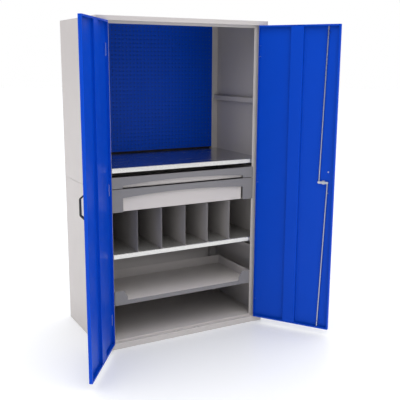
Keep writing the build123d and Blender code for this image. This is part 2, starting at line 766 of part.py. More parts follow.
def door_pan():
    """Folded door sheet: four sides, and lips along the free edge, the top and the bottom."""
    x = (MEETING_EDGE, HINGE_EDGE)
    z = (DOOR_BOTTOM, DOOR_TOP)
    pan = block(x, (DOOR_Y, DOOR_BACK_Y), z)
    inner_x = (x[0] + DOOR_SHEET, x[1] - DOOR_SHEET)
    inner_z = (z[0] + DOOR_SHEET, z[1] - DOOR_SHEET)
    pan -= block(inner_x, (DOOR_INSIDE_Y, DOOR_BACK_Y), inner_z)
    lip_y = (DOOR_BACK_Y - DOOR_SHEET, DOOR_BACK_Y)
    hat_x = (HINGE_EDGE - HAT_START - HAT_WIDTH, HINGE_EDGE - HAT_START)
    lips = block(x, lip_y, z) - block((x[0] + DOOR_LIP, x[1]), lip_y, (z[0] + DOOR_LIP, z[1] - DOOR_LIP))
    lips -= block(hat_x, lip_y, (z[0] + DOOR_SHEET, z[1] - DOOR_SHEET))
    pan += lips
    for middle_z in HINGE_HEIGHTS:
        half = HINGE_LENGTH / 2 + PIN_HEAD_HEIGHT + HINGE_CLEARANCE
        pan -= block(
            (HINGE_EDGE - HINGE_NOTCH, HINGE_EDGE + SHEET),
            (DOOR_Y - SHEET, DOOR_Y + HINGE_NOTCH_DEPTH),
            (middle_z - half, middle_z + half),
        )
    for hole_z in handle_hole_heights():
        pan -= rod_along_y(HANDLE_X, (DOOR_Y - SHEET, DOOR_INSIDE_Y + SHEET), hole_z, HANDLE_SCREW)
    return pan


def lock_door_pan():
    """The right door also has the lock's hole, and a slot at each end for the rods."""
    pan = door_pan()
    pan -= rod_along_y(LOCK_X, (DOOR_Y - SHEET, DOOR_INSIDE_Y + SHEET), LOCK_Z, LOCK_BODY + 2 * LOCK_FIT)
    pan -= rod_slot(DOOR_TOP, (DOOR_TOP - 2 * DOOR_SHEET, DOOR_TOP + DOOR_SHEET))
    pan -= rod_slot(DOOR_BOTTOM, (DOOR_BOTTOM - DOOR_SHEET, DOOR_BOTTOM + 2 * DOOR_SHEET))
    return pan


def door_stiffener():
    """Hat section over the door's full height."""
    brim_y = DOOR_INSIDE_Y + HAT_SHEET
    face_y = DOOR_Y + HAT_DEPTH
    near = HINGE_EDGE - HAT_START
    far = near - HAT_WIDTH
    path = [
        (near + HAT_BRIM, brim_y),
        (near, brim_y),
        (near, face_y),
        (far, face_y),
        (far, brim_y),
        (far - HAT_BRIM, brim_y),
    ]
    return along_z(strip(path, HAT_SHEET), (DOOR_BOTTOM + DOOR_SHEET, DOOR_TOP - DOOR_SHEET))


def handle_hole_heights():
    return (HANDLE_Z - HANDLE_HOLES / 2, HANDLE_Z + HANDLE_HOLES / 2)


def door_handle():
    """Bow handle bent from flat bar, its two feet cut flush with the door."""
    grip_y = DOOR_Y - HANDLE_PROJECTION
    past_y = DOOR_Y + HANDLE_PROJECTION
    past_half = 2 * HANDLE_HALF - HANDLE_GRIP_HALF
    outer = [
        (past_y, HANDLE_Z - past_half),
        (grip_y, HANDLE_Z - HANDLE_GRIP_HALF),
        (grip_y, HANDLE_Z + HANDLE_GRIP_HALF),
        (past_y, HANDLE_Z + past_half),
    ]
    section = strip(outer, -HANDLE_BAR)
    section = fillet(section.vertices().group_by(Axis.X)[1], HANDLE_BEND - HANDLE_BAR)
    section = fillet(section.vertices().group_by(Axis.X)[0], HANDLE_BEND)
    bar = along_x(section, (HANDLE_X - HANDLE_WIDTH / 2, HANDLE_X + HANDLE_WIDTH / 2))
    past_door = block(
        (HANDLE_X - HANDLE_WIDTH, HANDLE_X + HANDLE_WIDTH),
        (DOOR_Y, past_y + HANDLE_BAR),
        (HANDLE_Z - past_half - HANDLE_BAR, HANDLE_Z + past_half + HANDLE_BAR),
    )
    bar -= past_door
    for hole_z in handle_hole_heights():
        bar -= rod_along_y(HANDLE_X, (DOOR_Y - HANDLE_SCREW_GRIP, DOOR_Y), hole_z, HANDLE_SCREW)
    return bar


def handle_screws():
    """Pan-head screws from inside the door into the handle's feet."""
    screws = []
    for hole_z in handle_hole_heights():
        shank = rod_along_y(HANDLE_X, (DOOR_Y - HANDLE_SCREW_GRIP, DOOR_INSIDE_Y), hole_z, HANDLE_SCREW)
        head_y = (DOOR_INSIDE_Y, DOOR_INSIDE_Y + HANDLE_SCREW_HEAD_HEIGHT)
        screws.append(shank + rod_along_y(HANDLE_X, head_y, hole_z, HANDLE_SCREW_HEAD))
    return Compound(children=screws)


def save_doors():
    save(swing(lock_door_pan()), "door_pan_right")
    save(mirrored(swing(door_pan())), "door_pan_left")
    save_both(swing(door_stiffener()), "door_stiffener")
    save_both(swing(door_handle()), "door_handle")
    save_both(swing(handle_screws()), "handle_screws")


# ---------------------------------------------------------------------------
# Hinges
# ---------------------------------------------------------------------------


def knuckle(z, bore):
    """A rolled knuckle over a z span, with its bore as a second shape."""
    length = z[1] - z[0]
    place = Pos(AXIS_X, AXIS_Y, z[0] + length / 2)
    return place * Cylinder(KNUCKLE / 2, length), place * Cylinder(bore / 2, length)


def frame_hinge_leaf(middle_z):
    """Leaf on the post's rebate wall, with a knuckle at each end."""
    half = HINGE_LENGTH / 2
    third = HINGE_LENGTH / 6
    leaf_x = (POST_WALL - LEAF, POST_WALL)
    leaf_y = (AXIS_Y - LEAF, AXIS_Y - LEAF + FRAME_LEAF_DEPTH)
    leaf = block(leaf_x, leaf_y, (middle_z - half, middle_z + half))
    spans = (
        (middle_z - half, middle_z - third - KNUCKLE_GAP / 2),
        (middle_z + third + KNUCKLE_GAP / 2, middle_z + half),
    )
    for z in spans:
        barrel, bore = knuckle(z, PIN + 2 * PIN_FIT)
        neck = block((AXIS_X, leaf_x[0]), (AXIS_Y - LEAF, AXIS_Y + LEAF), z)
        leaf = leaf + neck + barrel - bore
    return leaf


def door_hinge_leaf(middle_z):
    """Leaf behind the door's sheet, with one knuckle between the frame's two."""
    half = HINGE_LENGTH / 2
    third = HINGE_LENGTH / 6
    y = (DOOR_INSIDE_Y, DOOR_INSIDE_Y + LEAF)
    plate_edge = HINGE_EDGE - HINGE_NOTCH
    z = (middle_z - third + KNUCKLE_GAP / 2, middle_z + third - KNUCKLE_GAP / 2)
    plate = block((plate_edge - DOOR_LEAF_WIDTH, plate_edge), y, (middle_z - half, middle_z + half))
    tongue = block((plate_edge, AXIS_X), y, z)
    barrel, bore = knuckle(z, PIN + 2 * PIN_RUNNING_FIT)
    return plate + tongue + barrel - bore


def hinge_pin(middle_z):
    """Pin with a head that rests on the upper knuckle."""
    top = middle_z + HINGE_LENGTH / 2
    shank = Pos(AXIS_X, AXIS_Y, middle_z) * Cylinder(PIN / 2, HINGE_LENGTH)
    head = Pos(AXIS_X, AXIS_Y, top + PIN_HEAD_HEIGHT / 2) * Cylinder(PIN_HEAD / 2, PIN_HEAD_HEIGHT)
    return shank + head


def save_hinges():
    frame_leaves = [frame_hinge_leaf(z) for z in HINGE_HEIGHTS]
    pins = [hinge_pin(z) for z in HINGE_HEIGHTS]
    door_leaves = [swing(door_hinge_leaf(z)) for z in HINGE_HEIGHTS]
    save(Compound(children=frame_leaves + [mirrored(leaf) for leaf in frame_leaves]), "frame_hinge_leaves")
    save(Compound(children=pins + [mirrored(pin) for pin in pins]), "hinge_pins")
    save(Compound(children=door_leaves), "door_hinge_leaves_right")
    save(Compound(children=[mirrored(leaf) for leaf in door_leaves]), "door_hinge_leaves_left")


# ---------------------------------------------------------------------------
# Lock
# ---------------------------------------------------------------------------


def lock_housing():
    body = rod_along_y(LOCK_X, (DOOR_Y, DOOR_Y + LOCK_BODY_LENGTH), LOCK_Z, LOCK_BODY)
    collar = rod_along_y(LOCK_X, (DOOR_Y - LOCK_COLLAR_HEIGHT, DOOR_Y), LOCK_Z, LOCK_COLLAR)
    bore_y = (DOOR_Y - LOCK_COLLAR_HEIGHT, DOOR_Y + LOCK_BODY_LENGTH)
    return body + collar - rod_along_y(LOCK_X, bore_y, LOCK_Z, PLUG + 2 * PLUG_FIT)


def lock_nut():
    """Hexagon nut that clamps the housing from inside the door."""
    hexagon = RegularPolygon(NUT_ACROSS_FLATS / 2, 6, major_radius=False)
    y = (DOOR_INSIDE_Y, DOOR_INSIDE_Y + NUT_HEIGHT)
    nut = along_y(Pos(LOCK_X, LOCK_Z) * hexagon, y)
    return nut - rod_along_y(LOCK_X, y, LOCK_Z, LOCK_BODY + 2 * LOCK_FIT)


def lock_plug():
    """Turning core with a keyway in front and a threaded hole behind."""
    front = DOOR_Y - LOCK_COLLAR_HEIGHT
    plug = rod_along_y(LOCK_X, (front, CAM_Y), LOCK_Z, PLUG)
    plug -= block(
        (LOCK_X - KEYWAY_WIDTH / 2, LOCK_X + KEYWAY_WIDTH / 2),
        (front, front + KEYWAY_DEPTH),
        (LOCK_Z - KEYWAY_LENGTH / 2, LOCK_Z + KEYWAY_LENGTH / 2),
    )
    return plug - rod_along_y(LOCK_X, (CAM_Y - CAM_SCREW_LENGTH, CAM_Y), LOCK_Z, CAM_SCREW)


def lock_cam():
    """Two-armed cam with a headed pin at each end for the rods, lying level when unlocked."""
    plate = along_y(Pos(LOCK_X, LOCK_Z) * SlotCenterToCenter(2 * CAM_ARM, CAM_WIDTH), (CAM_Y, CAM_BACK_Y))
    plate -= rod_along_y(LOCK_X, (CAM_Y, CAM_BACK_Y), LOCK_Z, CAM_SCREW)
    head_y = (ROD_Y - ROD_PIN_HEAD_GAP - ROD_PIN_HEAD_HEIGHT, ROD_Y - ROD_PIN_HEAD_GAP)
    for x in (LOCK_X - CAM_ARM, LOCK_X + CAM_ARM):
        plate += rod_along_y(x, (head_y[0], CAM_Y), LOCK_Z, ROD_PIN)
        plate += rod_along_y(x, head_y, LOCK_Z, ROD_PIN_HEAD)
    return plate


def cam_screw():
    head_y = (CAM_BACK_Y, CAM_BACK_Y + CAM_SCREW_HEAD_HEIGHT)
    shank = rod_along_y(LOCK_X, (CAM_Y - CAM_SCREW_LENGTH, CAM_BACK_Y), LOCK_Z, CAM_SCREW)
    return shank + rod_along_y(LOCK_X, head_y, LOCK_Z, CAM_SCREW_HEAD)


def lock_rod(side):
    """Round rod with a flat eye on the cam's pin; side is 1 for the upper rod, -1 for the lower one."""
    pivot_x, pivot_z, slope = rod_line(0, side)
    tip_z = UPPER_TIP_Z if side > 0 else LOWER_TIP_Z
    length = math.hypot(tip_z - pivot_z, (tip_z - pivot_z) * slope)
    shaft = Pos(0, 0, (length + ROD_EYE_NECK) / 2) * Cylinder(ROD / 2, length - ROD_EYE_NECK)
    eye = rod_along_y(0, (0, ROD_EYE_SHEET), 0, ROD_EYE)
    rod = shaft + eye - rod_along_y(0, (-ROD, ROD), 0, ROD_PIN + 2 * PLUG_FIT)
    lean = math.degrees(math.atan(slope))
    turn = lean if side > 0 else 180 + lean
    return Pos(pivot_x, ROD_Y, pivot_z) * Rot(0, turn, 0) * rod


def rod_guide(middle_z, foot_side):
    """Angle on the door's sheet with a slot for the rod; foot_side is 1 where its foot points up."""
    low, high = rod_span(middle_z)
    margin = ROD / 2 + ROD_CLEARANCE + GUIDE_MARGIN
    x = (low - margin, high + margin)
    plate_z = (middle_z - GUIDE_SHEET / 2, middle_z + GUIDE_SHEET / 2)
    plate = block(x, (DOOR_INSIDE_Y, DOOR_INSIDE_Y + GUIDE_DEPTH), plate_z)
    foot_z = sorted((middle_z, middle_z + foot_side * GUIDE_FOOT))
    foot = block(x, (DOOR_INSIDE_Y, DOOR_INSIDE_Y + GUIDE_SHEET), foot_z)
    return plate + foot - rod_slot(middle_z, (middle_z - GUIDE_SHEET, middle_z + GUIDE_SHEET))


def save_lock():
    guides = [
        rod_guide(DOOR_TOP - GUIDE_END, -1),
        rod_guide(DOOR_BOTTOM + GUIDE_END, 1),
    ]
    save(swing(lock_housing()), "lock_housing")
    save(swing(lock_nut()), "lock_nut")
    save(swing(lock_plug()), "lock_plug")
    save(swing(lock_cam()), "lock_cam")
    save(swing(cam_screw()), "cam_screw")
    save(swing(lock_rod(1)), "upper_lock_rod")
    save(swing(lock_rod(-1)), "lower_lock_rod")
    save(swing(Compound(children=guides)), "rod_guides")


save_carcass()
save_fittings()
save_runners()
save_drawers()
save_doors()
save_hinges()
save_lock()
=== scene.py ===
"""Dresses the sheet-steel tool cabinet: rolled folds, finishes, perforated panel, studio and camera."""

import json
import math

import bmesh
import bpy
from bpy.props import FloatProperty, FloatVectorProperty, IntProperty, PointerProperty
from mathutils import Matrix, Vector


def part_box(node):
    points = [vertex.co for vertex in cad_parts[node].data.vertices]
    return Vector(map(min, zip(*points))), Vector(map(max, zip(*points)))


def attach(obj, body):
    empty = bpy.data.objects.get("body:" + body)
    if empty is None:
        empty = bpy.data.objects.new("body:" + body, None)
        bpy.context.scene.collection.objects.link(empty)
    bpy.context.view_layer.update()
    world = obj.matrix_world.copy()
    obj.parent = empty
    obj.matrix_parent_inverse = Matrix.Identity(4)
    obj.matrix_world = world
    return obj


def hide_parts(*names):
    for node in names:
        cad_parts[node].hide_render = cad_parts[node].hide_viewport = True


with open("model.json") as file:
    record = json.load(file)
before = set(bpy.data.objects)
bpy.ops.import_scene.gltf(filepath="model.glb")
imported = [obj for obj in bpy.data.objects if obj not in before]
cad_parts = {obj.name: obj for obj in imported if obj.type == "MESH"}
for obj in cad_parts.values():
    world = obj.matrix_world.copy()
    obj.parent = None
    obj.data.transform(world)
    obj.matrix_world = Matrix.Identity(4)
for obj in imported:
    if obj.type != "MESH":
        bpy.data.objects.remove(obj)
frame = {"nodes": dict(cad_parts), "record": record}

bl_info = {
    "name": "Tool cabinet dresser",
    "version": (1, 0, 0),
    "blender": (4, 5, 0),
    "location": "View3D > Sidebar > Tool cabinet",
    "description": "Makes the formed sheet pieces, paints and studio of a tool cabinet",
    "category": "Object",
}

MM = 0.001

# Thicknesses of the solids' sheets.
SHEET = 1.2 * MM
THIN_SHEET = 1.0 * MM
RAIL_SHEET = 1.5 * MM
# Faces deeper than this in a drawer's front or in the tray are behind its front sheet.
BEHIND_DRAWER_FRONT = 2.6 * MM
BEHIND_TRAY_FRONT = 1.3 * MM

# In a CAD mesh, corners closer than this are one corner, and faces tilted less than this are one face.
SAME_CORNER = 0.004 * MM
SAME_FACE = math.radians(0.6)
# The sheet is folded where it turns by more than this.
FOLD_TURN = math.radians(25)
# The tool panel's cells are joined where their corners are closer than this.
WELD = 0.02 * MM
# A face narrower than this many thicknesses is the cut rim of the sheet.
RIM_THICKNESSES = 2.2
# A solid piece has its edges broken where they turn by more than this.
BROKEN_TURN = math.radians(40)
# Shading breaks where a surface turns by more than this.
SHARP_TURN = math.radians(34)
# A face looks along an axis where more than this share of its normal does.
SQUARE_ON = 0.9

# The floor's radius is in metres, and the camera's sensor in millimetres.
FLOOR_RADIUS = 40.0
FLOOR_SIDES = 64
SENSOR_WIDTH = 36.0


# ---------------------------------------------------------------------------
# Small helpers
# ---------------------------------------------------------------------------


def paint(code):
    """An sRGB hex colour as linear red, green, blue and alpha."""
    levels = [int(code[i : i + 2], 16) / 255 for i in (1, 3, 5)]
    linear = [c / 12.92 if c <= 0.04045 else ((c + 0.055) / 1.055) ** 2.4 for c in levels]
    return (*linear, 1.0)


def shade(colour, factor):
    """A linear colour made darker or paler."""
    return (*(min(1.0, factor * level) for level in colour[:3]), 1.0)


def add_node(tree, kind, inputs=None, **settings):
    """Adds one node; inputs maps a socket's name or number to a value or to the socket that feeds it."""
    node = tree.nodes.new(kind)
    for name, value in settings.items():
        setattr(node, name, value)
    for key, value in (inputs or {}).items():
        if isinstance(value, bpy.types.NodeSocket):
            tree.links.new(value, node.inputs[key])
        else:
            node.inputs[key].default_value = value
    return node


def new_material(name):
    """A material with a shader linked to its output, and the object's own coordinates."""
    material = bpy.data.materials.new(name)
    material.use_nodes = True
    tree = material.node_tree
    tree.nodes.clear()
    shader = add_node(tree, "ShaderNodeBsdfPrincipled")
    add_node(tree, "ShaderNodeOutputMaterial", {"Surface": shader.outputs["BSDF"]})
    place = add_node(tree, "ShaderNodeTexCoord").outputs["Object"]
    return material, tree, shader, place


def noise(tree, place, scale, detail=2.0, roughness=0.5):
    """Cloudy noise; scale counts its patches per metre."""
    inputs = {"Vector": place, "Scale": scale, "Detail": detail, "Roughness": roughness}
    return add_node(tree, "ShaderNodeTexNoise", inputs).outputs["Fac"]


def blend(tree, factor, first, second):
    """The first colour where the factor is 0, and the second where it is 1."""
    inputs = {0: factor, 6: first, 7: second}
    return add_node(tree, "ShaderNodeMix", inputs, data_type="RGBA").outputs[2]


def spread(tree, value, start, end, low=0.3, high=0.7):
    """Goes from start to end while the value goes from low to high."""
    inputs = {"Value": value, 1: low, 2: high, 3: start, 4: end}
    return add_node(tree, "ShaderNodeMapRange", inputs).outputs[0]


def emboss(tree, shader, height, strength, depth):
    """Fine relief on the shader's surface."""
    inputs = {"Height": height, "Strength": strength, "Distance": depth}
    bump = add_node(tree, "ShaderNodeBump", inputs)
    tree.links.new(bump.outputs[0], shader.inputs["Normal"])


# ---------------------------------------------------------------------------
# Materials
# ---------------------------------------------------------------------------


def powder_coat(name, colour, mottled, rubbed, roughness, gloss):
    """Polyester powder coat, sprayed and baked on: satin, a little mottled, paler where folds get rubbed.

    mottled and rubbed say how many times as bright as the colour such places are.
    """
    material, tree, shader, place = new_material(name)
    # Film thickness drifts over some 250 mm, which shows as a faint cloudiness.
    clouds = noise(tree, place, 4.0, 4.0, 0.55)
    tone = blend(tree, clouds, shade(colour, 1.0), shade(colour, mottled))
    # Hands and tools polish the outer folds in patches about 40 mm long.
    patches = noise(tree, place, 25.0, 3.0)
    fold = add_node(tree, "ShaderNodeAttribute", attribute_name="fold").outputs["Fac"]
    worn = add_node(tree, "ShaderNodeMath", {0: fold, 1: patches}, operation="MULTIPLY").outputs[0]
    skin = blend(tree, worn, tone, shade(colour, rubbed))
    tree.links.new(skin, shader.inputs["Base Color"])
    # Wiped areas some 120 mm wide are a touch glossier.
    wipes = noise(tree, place, 8.0)
    sheen = spread(tree, wipes, roughness - 0.05, roughness + 0.05)
    tree.links.new(sheen, shader.inputs["Roughness"])
    # Orange peel is 2 mm across on the real coat; it is drawn 5 mm across so that it shows.
    peel = noise(tree, place, 200.0)
    emboss(tree, shader, peel, strength=0.04, depth=0.4 * MM)
    shader.inputs["IOR"].default_value = 1.5
    shader.inputs["Specular IOR Level"].default_value = gloss
    return material


def galvanised_sheet(name, colour, spangled, roughness):
    """Skin-passed galvanised sheet: bright and smooth, with a faint spangle left by the zinc's crystals."""
    material, tree, shader, place = new_material(name)
    # Minimised spangle: crystals about 6 mm across.
    spangle = add_node(tree, "ShaderNodeTexVoronoi", {"Vector": place, "Scale": 160.0})
    crystal = add_node(tree, "ShaderNodeSeparateColor", {0: spangle.outputs["Color"]})
    tone = blend(tree, crystal.outputs[0], paint(colour), paint(spangled))
    tree.links.new(tone, shader.inputs["Base Color"])
    # Rolling and handling leave long faint streaks from side to side.
    stretched = add_node(tree, "ShaderNodeMapping", {"Vector": place, "Scale": (3.0, 60.0, 60.0)})
    streaks = noise(tree, stretched.outputs[0], 1.0, 4.0)
    gloss = spread(tree, streaks, roughness - 0.03, roughness + 0.06)
    tree.links.new(gloss, shader.inputs["Roughness"])
    shader.inputs["Metallic"].default_value = 1.0
    return material


def zinc_plate(name, colour, dulled, roughness):
    """Bright zinc plate on pressed steel: bluish white, with slightly dulled patches from the bath."""
    material, tree, shader, place = new_material(name)
    # The bath's staining is in patches about 15 mm across.
    stain = noise(tree, place, 65.0, 5.0, 0.6)
    tone = blend(tree, stain, paint(colour), paint(dulled))
    tree.links.new(tone, shader.inputs["Base Color"])
    gloss = spread(tree, stain, roughness - 0.06, roughness + 0.08)
    tree.links.new(gloss, shader.inputs["Roughness"])
    shader.inputs["Metallic"].default_value = 1.0
    return material


def chrome_plate(name, colour):
    """Polished chrome on a die-cast lock: mirror bright, with hairline scratches."""
    material, tree, shader, place = new_material(name)
    # Key scratches are under 0.1 mm wide; they are drawn about 0.7 mm wide so that they show.
    scratches = noise(tree, place, 1500.0)
    gloss = spread(tree, scratches, 0.08, 0.25, low=0.55, high=0.75)
    tree.links.new(gloss, shader.inputs["Roughness"])
    shader.inputs["Base Color"].default_value = paint(colour)
    shader.inputs["Metallic"].default_value = 1.0
    return material


def moulded_nylon(name, colour):
    """Glass-filled nylon, moulded: matt, with a fine eroded grain."""
    material, tree, shader, place = new_material(name)
    # The mould's spark-eroded grain, about 0.7 mm across.
    grain = noise(tree, place, 1400.0, 3.0)
    emboss(tree, shader, grain, strength=0.15, depth=0.2 * MM)
    # Hands polish it in patches about 30 mm long.
    touch = noise(tree, place, 30.0)
    gloss = spread(tree, touch, 0.35, 0.55, low=0.0, high=1.0)
    tree.links.new(gloss, shader.inputs["Roughness"])
    shader.inputs["Base Color"].default_value = paint(colour)
    shader.inputs["IOR"].default_value = 1.53
    return material


FINISHES = {}


def make_finishes(cabinet):
    """Makes each finish once, under the record's slot names and some more for single pieces and faces."""
    carcass = cabinet.carcass_colour
    door = cabinet.door_colour
    drawer = cabinet.drawer_colour
    FINISHES["carcass_paint"] = powder_coat("light_grey_powder_coat", carcass, 0.96, 1.06, 0.45, 0.3)
    FINISHES["door_paint"] = powder_coat("blue_powder_coat", door, 0.92, 1.08, 0.4, 0.14)
    FINISHES["drawer_paint"] = powder_coat("mid_grey_powder_coat", drawer, 0.94, 1.2, 0.45, 0.3)
    # The back's face behind the tool panel is painted dark grey as painted shade, so that the holes and the
    # gap below the panel look dark.
    FINISHES["back_painted_shade"] = powder_coat("back_shade_painted_coat", paint("#706B67"), 0.89, 1.16, 0.6, 0.15)
    # The tray's inside is painted a shade paler than the carcass, as painted light where more light falls on
    # it.
    pale = shade(carcass, 1.1)
    FINISHES["tray_painted_light"] = powder_coat("tray_light_painted_coat", pale, 0.96, 1.05, 0.45, 0.3)
    # The dividers are painted a shade darker than the carcass, as painted shade in the deep bays between
    # them.
    dark = shade(carcass, 0.74)
    FINISHES["divider_painted_shade"] = powder_coat("divider_shade_painted_coat", dark, 0.91, 1.13, 0.4, 0.3)
    FINISHES["galvanised"] = galvanised_sheet("galvanised_sheet", "#D9D8D5", "#D0CFCD", 0.22)
    # Boxes slid over the divided shelf have dulled it.
    FINISHES["dulled_galvanised"] = galvanised_sheet("dulled_galvanised_sheet", "#D9D8D5", "#C8C7C4", 0.5)
    FINISHES["zinc_plate"] = zinc_plate("bright_zinc_plate", "#C9CDD3", "#B4B9C1", 0.3)
    FINISHES["lock_chrome"] = chrome_plate("chrome_plate", "#D5D7DA")
    FINISHES["handle_black"] = moulded_nylon("moulded_black_nylon", "#1B1B1D")


# ---------------------------------------------------------------------------
# Formed sheet: copies of the solids with rolled folds
# ---------------------------------------------------------------------------

BODIES = frame["record"]["behaviour"]["bodies"]
BODY_OF = {node: body for body, nodes in BODIES.items() for node in nodes}
SLOT_OF = {part["node"]: part["material_slot"] for part in frame["record"]["subparts"]}


def width_across(loop):
    """How far a face reaches inwards from the middle of one of its edges."""
    start, end = loop.vert.co, loop.link_loop_next.vert.co
    middle = (start + end) / 2
    along = (end - start).normalized()
    inward = loop.face.normal.cross(along)
    touching = 1e-6
    nearest = math.inf
    for other in loop.face.loops:
        if other is loop:
            continue
        p = other.vert.co - middle
        q = other.link_loop_next.vert.co - middle
        p_along, q_along = p.dot(along), q.dot(along)
        if p_along * q_along > 0 or p_along == q_along:
            continue
        share = p_along / (p_along - q_along)
        reach = p.dot(inward) + share * (q - p).dot(inward)
        if reach > touching:
            nearest = min(nearest, reach)
    return nearest


def fold_lines(bm, sheet, convex):
    """Edges where the sheet itself is folded, so not its cut rims; convex ones lie outside the fold."""
    found = []
    for edge in bm.edges:
        if len(edge.link_faces) != 2 or edge.calc_face_angle(0) < FOLD_TURN:
            continue
        if edge.is_convex != convex:
            continue
        if min(width_across(loop) for loop in edge.link_loops) > RIM_THICKNESSES * sheet:
            found.append(edge)
    return found


def bevel(bm, edges, width, segments, clamped):
    """Rounds the edges over a width, and returns the faces that this makes."""
    made = bmesh.ops.bevel(
        bm, geom=edges, offset=width, offset_type="OFFSET", segments=segments, profile=0.5,
        affect="EDGES", clamp_overlap=clamped,
    )
    return made["faces"]


def roll_folds(bm, sheet, inside_radius, segments):
    """Rounds each fold: the inner line by the inside radius, the outer by that radius plus the sheet."""
    mark = bm.faces.layers.float.new("fold")
    for convex, radius in ((True, inside_radius + sheet), (False, inside_radius)):
        edges = fold_lines(bm, sheet, convex)
        if edges:
            for face in bevel(bm, edges, radius, segments, clamped=False):
                face[mark] = 1.0 if convex else 0.0


def merged_copy(node):
    """The CAD node's triangles joined up into whole faces."""
    bm = bmesh.new()
    bm.from_mesh(frame["nodes"][node].data)
    bmesh.ops.remove_doubles(bm, verts=bm.verts, dist=SAME_CORNER)
    bmesh.ops.dissolve_limit(bm, angle_limit=SAME_FACE, verts=bm.verts, edges=bm.edges)
    bm.normal_update()
    return bm


def shade_piece(piece):
    """Shades rounded surfaces smoothly, and leaves flat faces flat and corners sharp."""
    piece.data.shade_smooth()
    piece.data.set_sharp_from_angle(angle=SHARP_TURN)
    weighted = piece.modifiers.new("flat faces stay flat", "WEIGHTED_NORMAL")
    weighted.keep_sharp = True


def finished_piece(bm, name, finishes):
    """A shaded object from a bmesh, with its finishes in order."""
    mesh = bpy.data.meshes.new(name)
    bm.to_mesh(mesh)
    bm.free()
    for finish in finishes:
        mesh.materials.append(FINISHES[finish])
    piece = bpy.data.objects.new(name, mesh)
    bpy.context.scene.collection.objects.link(piece)
    shade_piece(piece)
    return piece


def take_place(piece, node):
    """Puts a piece in a CAD node's place: on its body, with the node hidden."""
    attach(piece, BODY_OF[node])
    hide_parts(node)


def form(node, inside_radius, sheet=SHEET, segments=4, second=None, is_second=None):
    """Replaces a CAD node by a copy with rolled folds; faces picked by is_second take the second finish."""
    bm = merged_copy(node)
    roll_folds(bm, sheet, inside_radius, segments)
    finishes = [SLOT_OF[node]]
    if second:
        finishes.append(second)
        for face in bm.faces:
            face.material_index = 1 if is_second(face) else 0
    take_place(finished_piece(bm, node + "_formed", finishes), node)


def soften(node, width, segments=3):
    """Replaces a solid CAD node by a copy with its machined or moulded edges broken."""
    bm = merged_copy(node)
    edges = [e for e in bm.edges if len(e.link_faces) == 2 and e.calc_face_angle(0) > BROKEN_TURN]
    mark = bm.faces.layers.float.new("fold")
    for face in bevel(bm, edges, width, segments, clamped=True):
        face[mark] = 1.0
    take_place(finished_piece(bm, node + "_finished", [SLOT_OF[node]]), node)


# ---------------------------------------------------------------------------
# Perforated panel
# ---------------------------------------------------------------------------


def punched_field():
    """Geometry nodes that add a field of plate cells, each with a round hole, to the pan they are given."""
    tree = bpy.data.node_groups.new("punched field", "GeometryNodeTree")
    tree.interface.new_socket("Geometry", in_out="OUTPUT", socket_type="NodeSocketGeometry")
    for name, kind in (
        ("Geometry", "Geometry"), ("Columns", "Int"), ("Rows", "Int"), ("Pitch", "Float"), ("Hole", "Float"),
        ("Sides", "Int"), ("Middle", "Vector"), ("Finish", "Material"),
    ):
        tree.interface.new_socket(name, in_out="INPUT", socket_type="NodeSocket" + kind)
    given = add_node(tree, "NodeGroupInput").outputs
    pitch = given["Pitch"]
    # One cell: a square of plate with a round hole.
    radius = add_node(tree, "ShaderNodeMath", {0: given["Hole"], 1: 0.5}, operation="MULTIPLY").outputs[0]
    square = add_node(tree, "GeometryNodeCurvePrimitiveQuadrilateral", {"Width": pitch, "Height": pitch})
    ring = {"Resolution": given["Sides"], "Radius": radius}
    circle = add_node(tree, "GeometryNodeCurvePrimitiveCircle", ring)
    outline = add_node(tree, "GeometryNodeJoinGeometry", {0: square.outputs[0]})
    tree.links.new(circle.outputs[0], outline.inputs[0])
    cell = add_node(tree, "GeometryNodeFillCurve", {0: outline.outputs[0]})
    # A copy of the cell on every point of a grid, stood upright.
    spans = []
    for count in ("Columns", "Rows"):
        gaps = add_node(tree, "ShaderNodeMath", {0: given[count], 1: 1.0}, operation="SUBTRACT").outputs[0]
        span = add_node(tree, "ShaderNodeMath", {0: gaps, 1: pitch}, operation="MULTIPLY").outputs[0]
        spans.append(span)
    columns, rows = given["Columns"], given["Rows"]
    grid = {"Size X": spans[0], "Size Y": spans[1], "Vertices X": columns, "Vertices Y": rows}
    places = add_node(tree, "GeometryNodeMeshGrid", grid)
    copies = {"Points": places.outputs[0], "Instance": cell.outputs[0]}
    cells = add_node(tree, "GeometryNodeInstanceOnPoints", copies)
    turn = (math.pi / 2, 0.0, 0.0)
    pose = {"Geometry": cells.outputs[0], "Translation": given["Middle"], "Rotation": turn}
    upright = add_node(tree, "GeometryNodeTransform", pose)
    # The pan and its field together, all in one finish.
    whole = add_node(tree, "GeometryNodeJoinGeometry", {0: given["Geometry"]})
    tree.links.new(upright.outputs[0], whole.inputs[0])
    real = add_node(tree, "GeometryNodeRealizeInstances", {0: whole.outputs[0]})
    finish = {"Geometry": real.outputs[0], "Material": given["Finish"]}
    painted = add_node(tree, "GeometryNodeSetMaterial", finish)
    add_node(tree, "NodeGroupOutput", {0: painted.outputs[0]})
    return tree


